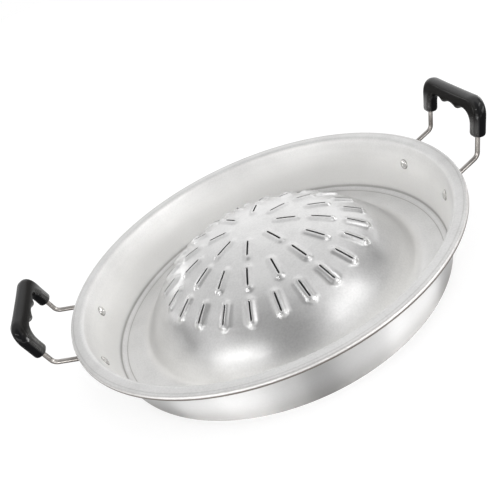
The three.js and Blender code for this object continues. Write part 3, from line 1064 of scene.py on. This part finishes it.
@dataclass
class MouldedGrip:
    """A handle's grip: two legs and a bar with hollows for three fingers, in millimetres."""

    plan: HandlePlan
    height: float = 31.3
    leg: float = 13.1
    bar: float = 13.6
    thickness: float = 10.7
    corner: float = 14.2
    fillet: float = 9.0
    edge: float = 4.9
    leg_end: float = 3.0
    finger_depth: float = 2.4
    fingers: int = 3
    hole: float = 2.1
    bend_radius: float = 7.0
    end_inset: float = 2.6
    end_thinning: float = 0.9
    edge_limit: float = 0.92
    channel_step: float = 6.0
    channel_bend_steps: int = 6
    arc_steps: int = 7
    side_steps: int = 5
    end_rows: int = 7
    leg_rows: int = 5
    bar_rows: int = 32
    middle_rows: int = 11
    rail_points: int = 60

    def section(self, half_long: np.ndarray, half_thick: np.ndarray,
                edge: np.ndarray) -> tuple[np.ndarray, np.ndarray]:
        """Rounded rectangles: four quarter circles with straight sides between them.

        Args:
            half_long: Half the size along the first axis at each station.
            half_thick: Half the size along the second.
            edge: Radius of the corners.

        Returns:
            The two coordinates of the points, shaped (stations, points).
        """
        quarter = np.linspace(0, np.pi / 2, self.arc_steps + 1)
        side = np.linspace(0, 1, self.side_steps + 1)[1:-1]
        far, deep, bend = (half_long - edge)[:, None], (half_thick - edge)[:, None], edge[:, None]
        signs = ((1, 1), (-1, 1), (-1, -1), (1, -1))
        long, thick = [], []
        for i, (sign_a, sign_b) in enumerate(signs):
            angle, turned = quarter + i * np.pi / 2, (i + 1) * np.pi / 2
            a = sign_a * far + bend * np.cos(angle)
            b = sign_b * deep + bend * np.sin(angle)
            after_a, after_b = signs[(i + 1) % len(signs)]
            next_a = after_a * far + bend * np.cos(turned)
            next_b = after_b * deep + bend * np.sin(turned)
            long += [a, a[:, -1:] + (next_a - a[:, -1:]) * side]
            thick += [b, b[:, -1:] + (next_b - b[:, -1:]) * side]
        return np.concatenate(long, axis=1), np.concatenate(thick, axis=1)

    def half_curves(self) -> tuple[np.ndarray, np.ndarray, np.ndarray]:
        """Outer and inner curve of the +Y half in the grip's plane, and how far each station is inset.

        The outer curve is the leg, a quarter circle and the bar's top. The inner one is the leg, a cubic
        that curves into the outer finger hollow, and half of a parabola for the middle one.

        Returns:
            Outer points, inner points and insets, from the leg's end to the middle of the bar.
        """
        y_out, y_in = self.plan.leg + self.leg / 2, self.plan.leg - self.leg / 2
        under = self.height - self.bar
        cusp, crest = under - self.finger_depth, under + self.finger_depth
        finger = 2 * y_in / self.fingers
        first = y_in - finger
        swing = np.linspace(np.pi / 2, 0, self.end_rows + 1)[:-1]
        inset = self.end_inset * (1 - np.cos(swing))
        end_up = self.leg_end * (1 - np.sin(swing))
        leg_up = np.linspace(self.leg_end, under - self.fillet, self.leg_rows)
        straight = np.ones(self.leg_rows)
        outer = [np.stack([y_out - inset, end_up], -1), np.stack([straight * y_out, leg_up], -1)]
        inner = [np.stack([y_in + inset, end_up], -1), np.stack([straight * y_in, leg_up], -1)]
        corner_at = np.array([y_out - self.corner, self.height - self.corner])
        bow = np.linspace(0, np.pi / 2, self.rail_points)
        arc = corner_at + self.corner * np.stack([np.cos(bow), np.sin(bow)], -1)
        rail = np.concatenate([[[y_out, leg_up[-1]]], arc, [[first, self.height]]])
        length = lengths_along(rail)
        t = np.linspace(0, 1, self.bar_rows + 1)[1:]
        outer.append(np.stack([np.interp(t * length[-1], length, part) for part in rail.T], -1))
        ends = np.array([[y_in, leg_up[-1]], [y_in, crest], [first + finger / 4, crest], [first, cusp]])
        weight = np.stack([(1 - t) ** 3, 3 * t * (1 - t) ** 2, 3 * t ** 2 * (1 - t), t ** 3], -1)
        inner.append(weight @ ends)
        t = np.linspace(0, 0.5, self.middle_rows + 1)[1:]
        across = first * (1 - 2 * t)
        outer.append(np.stack([across, np.full(len(t), self.height)], -1))
        inner.append(np.stack([across, cusp * ((1 - t) ** 2 + t ** 2) + crest * 2 * t * (1 - t)], -1))
        outer, inner = np.concatenate(outer), np.concatenate(inner)
        return outer, inner, np.concatenate([inset, np.zeros(len(outer) - len(inset))])

    def skin(self) -> Skin:
        """The grip as one closed grid.

        Rounded rectangles stand between the outer and the inner curve from one leg's end to the other's,
        and the rows then run back through the channel that the rod lies in.

        Returns:
            The surface, mirrored about the middle of the bar.
        """
        plan = self.plan
        outer, inner, inset = self.half_curves()
        span = outer - inner
        half_long = np.linalg.norm(span, axis=1) / 2
        along = unit(span)
        half_thick = np.full(len(outer), self.thickness / 2) - self.end_thinning * inset
        edge = np.minimum(self.edge, self.edge_limit * np.minimum(half_long, half_thick))
        a, b = self.section(half_long, half_thick, edge)
        middle = (outer + inner) / 2
        across = middle[:, :1] + a * along[:, :1]
        up = middle[:, 1:] + a * along[:, 1:] + plan.stem
        body = plan.on_grip(across, up, b)
        columns = a.shape[1]
        top = plan.bar_middle
        corners = np.array([[plan.leg, plan.stem, 0.0], [plan.leg, top, 0.0], [0.0, top, 0.0]])
        path = bent_path(corners, [self.bend_radius], self.channel_step, self.channel_bend_steps)
        way = unit(np.gradient(path, axis=0))
        angle = np.arctan2(b[len(b) // 2], a[len(a) // 2])
        normal = np.stack([way[:, 1], -way[:, 0]], -1)
        spoke_a, spoke_b = self.hole * np.cos(angle), self.hole * np.sin(angle)
        channel_across = path[:, :1] + normal[:, :1] * spoke_a
        channel_up = path[:, 1:2] + normal[:, 1:] * spoke_a
        channel = plan.on_grip(channel_across, channel_up, np.repeat(spoke_b[None], len(path), axis=0))
        grid = np.concatenate([body, body[-2::-1] * MIRROR_Y, channel * MIRROR_Y, channel[-2::-1]])
        quads = grid_quads(len(grid), columns, closed=True).reshape(-1, 4)
        return Skin(grid.reshape(-1, 3), quads)


@dataclass
class RoundRivet:
    """A rivet through the wall and a flat rod end: head inside the pan, tail outside, in millimetres."""

    plan: HandlePlan
    head_radius: float = 4.8
    head_height: float = 2.0
    head_seat: float = 0.06
    dimple: float = 0.5
    dimple_radius: float = 1.7
    painted_shade_rows: int = 4
    dome_rows: int = 14
    shank_radius: float = 2.2
    tail_radius: float = 3.5
    tail_height: float = 1.6
    tail_gap: float = 2.0
    shank_start: float = 0.10
    sides: int = 48

    def skin(self, side: float) -> Skin:
        """The rivet as a turned profile.

        The head is a low ellipse with a shallow cosine dimple in its middle, the tail a lower ellipse.

        Args:
            side: 1 for the rivet at positive Y, -1 for the other.

        Returns:
            The closed surface, in its place on the right side's wall.
        """
        t = np.linspace(0, np.pi / 2, self.dome_rows + 1)[1:]
        head_r = self.head_radius * np.sin(t)
        dent = self.dimple * (0.5 + 0.5 * np.cos(np.pi * np.clip(head_r / self.dimple_radius, 0.0, 1.0)))
        head_y = self.head_seat - self.head_height * np.cos(t) + dent
        tail_seat = self.plan.pan.sheet + self.tail_gap
        tail_r, tail_y = self.tail_radius * np.cos(t[:-1]), tail_seat + self.tail_height * np.sin(t[:-1])
        shank_y = np.array([self.shank_start, tail_seat])
        radius = np.concatenate([head_r, np.full(2, self.shank_radius), [self.tail_radius], tail_r])
        out = np.concatenate([head_y, shank_y, [tail_seat], tail_y])
        angle = ring_angles(self.sides)
        rings = np.stack([radius[:, None] * np.cos(angle), np.repeat(out[:, None], self.sides, axis=1),
                          radius[:, None] * np.sin(angle)], axis=-1)
        rows = len(rings)
        head_top = self.head_seat - self.head_height + self.dimple
        ends = [[0.0, head_top, 0.0], [0.0, tail_seat + self.tail_height, 0.0]]
        points = self.plan.on_wall(np.concatenate([rings.reshape(-1, 3), ends]), side)
        caps = end_caps(rows, self.sides)
        band = np.repeat(np.arange(rows - 1), self.sides)
        # Painted shade: the rows round the head's edge take the darker finish, a contact shadow.
        edge = (band >= len(t) - 1 - self.painted_shade_rows) & (band <= len(t))
        finish = np.concatenate([edge.astype(int), np.zeros(len(caps), int)])
        return Skin(points, grid_quads(rows, self.sides).reshape(-1, 4), caps, finish)


@dataclass
class Handle:
    """One handle: rod, grip and two rivets."""

    side: Side
    plan: HandlePlan

    def place(self, skin: Skin) -> Skin:
        """Turns a surface of the right handle about Z to this handle's side."""
        return Skin(turn_z(skin.points, self.side.turn), skin.quads, skin.triangles, skin.finish, skin.flat)

    def build(self, wire: bpy.types.Material, grip: bpy.types.Material,
              rivet: list[bpy.types.Material]) -> None:
        """Adds the handle's pieces to the scene.

        Args:
            wire: Finish of the rod.
            grip: Finish of the grip.
            rivet: Finishes of the rivets and of the painted shade round the edge of their heads.
        """
        end = self.side.label
        rod = self.place(BentRod(self.plan).skin())
        moulding = self.place(MouldedGrip(self.plan).skin())
        add_piece(f"bent_rod_{end}", rod, [wire], f"handle_wire_{end}")
        add_piece(f"moulded_grip_{end}", moulding, [grip], f"grip_{end}")
        for sign in (1.0, -1.0):
            back = (sign > 0) == (self.side is Side.RIGHT)
            name = f"{end}_{'back' if back else 'front'}"
            skin = self.place(RoundRivet(self.plan).skin(sign))
            add_piece(f"round_rivet_{name}", skin, rivet, f"rivet_{name}")


@dataclass(frozen=True)
class Softbox:
    """A strip softbox aimed at the pan: its angles in degrees, distance and sizes in metres."""

    name: str
    azimuth: float
    elevation: float
    width: float
    height: float
    power: float
    roll: float = 0.0
    distance: float = 1.2

    def build(self) -> None:
        """Adds the lamp, its back turned away from the pan."""
        lamp = bpy.data.lights.new(self.name, "AREA")
        lamp.shape, lamp.size, lamp.size_y, lamp.energy = "RECTANGLE", self.width, self.height, self.power
        box = bpy.data.objects.new(self.name, lamp)
        box.visible_camera = False
        spot = aim(self.azimuth, self.elevation)
        level = unit(np.cross([0.0, 0.0, 1.0], spot))
        roll = radians(self.roll)
        side = level * np.cos(roll) + np.cross(spot, level) * np.sin(roll)
        axes = np.stack([side, np.cross(spot, side), spot], axis=1)
        box.matrix_world = Matrix(axes.tolist()).to_4x4()
        box.location = (spot * self.distance).tolist()
        bpy.context.scene.collection.objects.link(box)


@dataclass(frozen=True)
class RoomPatch:
    """A round patch of the room: its angles and radii in degrees, and the light that it adds or takes."""

    azimuth: float
    elevation: float
    inner: float
    outer: float
    light: float


@dataclass
class Studio:
    """Pale floor, soft light and white surroundings."""

    floor_size: float = 8.0
    floor_drop: float = 0.0003
    floor_grey: float = 0.40
    floor_glow: float = 0.66
    mottle: float = 1.02
    mottle_scale: float = 3.0
    pan_foot: float = 0.149
    foot_edge: float = 0.004
    glow_reach: float = 0.45
    mirrored_glow: float = 0.66
    around: float = 1.0
    patches: tuple[RoomPatch, ...] = (
        RoomPatch(70.0, 16.7, 0.0, 53.1, 0.27),
        RoomPatch(-121.2, 52.7, 16.3, 44.0, -0.57),
        RoomPatch(145.0, 12.7, 0.0, 56.6, -0.16),
        RoomPatch(8.0, 34.5, 5.0, 18.0, -0.48),
        RoomPatch(-86.0, 52.0, 4.0, 18.0, -0.10),
    )
    lamps: tuple[Softbox, ...] = (
        Softbox("strip_left", -147.5, 39.3, 0.76, 0.055, 1.0, 18.0),
        Softbox("strip_right", -37.0, 44.6, 0.66, 0.135, 0.61, -16.0),
        Softbox("back_box_left", 120.0, 8.0, 0.24, 0.18, 0.30),
        Softbox("back_box_right", 24.0, 10.0, 0.5, 0.2, 1.3),
        Softbox("side_box_left", 147.0, 9.0, 0.4, 0.18, 0.9),
        Softbox("low_box_left", -144.0, 9.0, 1.10, 0.36, 6.0),
        Softbox("low_box_right", -34.0, 9.0, 0.88, 0.34, 6.4),
        Softbox("low_strip_left", -119.5, 3.4, 0.35, 0.055, 0.54, distance=0.5),
        Softbox("low_strip_right", -66.0, 3.4, 0.32, 0.055, 0.46, distance=0.5),
    )

    def floor(self) -> None:
        """Adds the floor: diffuse, which takes the shadow, and glow, lower near the pan in mirrors: painted
        shadow.
        """
        half = self.floor_size / 2 / MM
        corners = np.array([[-half, -half], [half, -half], [half, half], [-half, half]])
        points = np.column_stack([corners, np.full(4, -self.floor_drop / MM)])
        floor = bpy.data.objects.new("floor", Skin(points, np.array([[0, 1, 2, 3]])).to_mesh("floor"))
        material, graph = new_material("pale_floor")
        x, y, _ = graph.parts(graph.place())
        radius = graph.radius(x, y)
        camera, mirrored = self.seen(graph)
        # Painted shadow: mirrored rays see less glow near the pan's foot, and no ray sees glow under it.
        away = graph.step(radius, self.pan_foot, self.glow_reach)
        far = self.mirrored_glow + away * (1.0 - self.mirrored_glow)
        glow = (camera + mirrored * far) * graph.step(radius, self.pan_foot - self.foot_edge, self.pan_foot)
        tone = (self.floor_grey,) * 3
        grey = graph.blend(graph.noise(graph.place(), self.mottle_scale), tone, times(tone, self.mottle))
        diffuse = graph.node("ShaderNodeBsdfDiffuse", {}, {"Color": grey})
        light = graph.node("ShaderNodeEmission", {}, {"Color": WHITE, "Strength": glow * self.floor_glow})
        both = graph.node("ShaderNodeAddShader", {}, {0: diffuse, 1: light})
        graph.node("ShaderNodeOutputMaterial", {}, {"Surface": both})
        floor.data.materials.append(material)
        bpy.context.scene.collection.objects.link(floor)

    @staticmethod
    def seen(graph: Graph) -> tuple[Value, Value]:
        """Rays that show the surroundings: straight from the camera, and mirrored or through glass."""
        kinds = ("Is Camera Ray", "Is Glossy Ray", "Is Transmission Ray")
        camera, glossy, through = (graph.node("ShaderNodeLightPath", {}, {}, kind) for kind in kinds)
        return camera, (1.0 - camera) * graph.math("MINIMUM", glossy + through, 1.0)

    def world(self) -> None:
        """Sets the surroundings: white to the camera, and for the light paler or darker in patches."""
        world = bpy.data.worlds.new("studio")
        world.use_nodes = True
        graph = Graph(world.node_tree)
        way = graph.place("Generated")
        light = self.around
        for patch in self.patches:
            near = graph.vector("DOT_PRODUCT", way, tuple(aim(patch.azimuth, patch.elevation)), "Value")
            low, high = np.cos(radians(patch.outer)), np.cos(radians(patch.inner))
            light = light + graph.step(near, low, high) * patch.light
        camera = graph.node("ShaderNodeLightPath", {}, {}, "Is Camera Ray")
        strength = light + camera * (1.0 - light)
        glow = graph.node("ShaderNodeBackground", {}, {"Color": WHITE, "Strength": strength})
        graph.node("ShaderNodeOutputWorld", {}, {"Surface": glow})
        bpy.context.scene.world = world

    def build(self) -> None:
        """Adds floor, surroundings and lamps."""
        self.floor()
        self.world()
        for lamp in self.lamps:
            lamp.build()
        bpy.context.scene.view_settings.view_transform = "Standard"


@dataclass
class PhotoCamera:
    """The camera at the photograph's view: axes and place in the pan's frame, the place in millimetres."""

    right: Triple = (0.89893, -0.23548, -0.36941)
    up: Triple = (0.43733, 0.43281, 0.78830)
    back: Triple = (-0.02575, -0.87019, 0.49205)
    place: Triple = (-19.54, -483.67, 323.69)
    lens: float = 46.832
    shift: tuple[float, float] = (-0.00377, -0.01329)
    sensor: float = 36.0
    nearest: float = 0.01

    def build(self) -> None:
        """Adds the camera and makes it the scene's own."""
        data = bpy.data.cameras.new("photo_camera")
        data.sensor_width, data.lens, data.clip_start = self.sensor, self.lens, self.nearest
        data.shift_x, data.shift_y = self.shift
        camera = bpy.data.objects.new("photo_camera", data)
        axes = np.stack([self.right, self.up, self.back], axis=1)
        camera.matrix_world = Matrix(axes.tolist()).to_4x4()
        camera.location = [v * MM for v in self.place]
        bpy.context.scene.collection.objects.link(camera)
        bpy.context.scene.camera = camera


def main() -> None:
    """Builds camera, studio, pan and handles in order."""
    logging.basicConfig(level=logging.INFO, format="%(name)s %(message)s")
    PhotoCamera().build()
    Studio().build()
    satin = SheetAluminium("satin_aluminium").material()
    # The spun outer wall takes a darker dish colour, a painted light level, and painted shade at its foot.
    spun = SheetAluminium(
        "spun_aluminium", pale=(0.57, 0.568, 0.566), dish_roughness=0.56, ring_depth=0.03, brushing=1.0,
        foot_shade=0.62, top_shade=0.0).material()
    wire, grip = PlatedSteel().material(), BlackPhenolic().material()
    # A darker rivet finish paints the contact shadow round each head's edge.
    edge = RivetAluminium(
        "rivet_painted_shade", colour=(0.44, 0.43, 0.415), shade=(0.30, 0.29, 0.28), roughness=0.36).material()
    rivet = [RivetAluminium().material(), edge]
    pan = PanSheet()
    pan.build(satin, spun)
    for side in Side:
        Handle(side, HandlePlan(pan, stem=side.stem)).build(wire, grip, rivet)


if __name__ == "__main__":
    main()
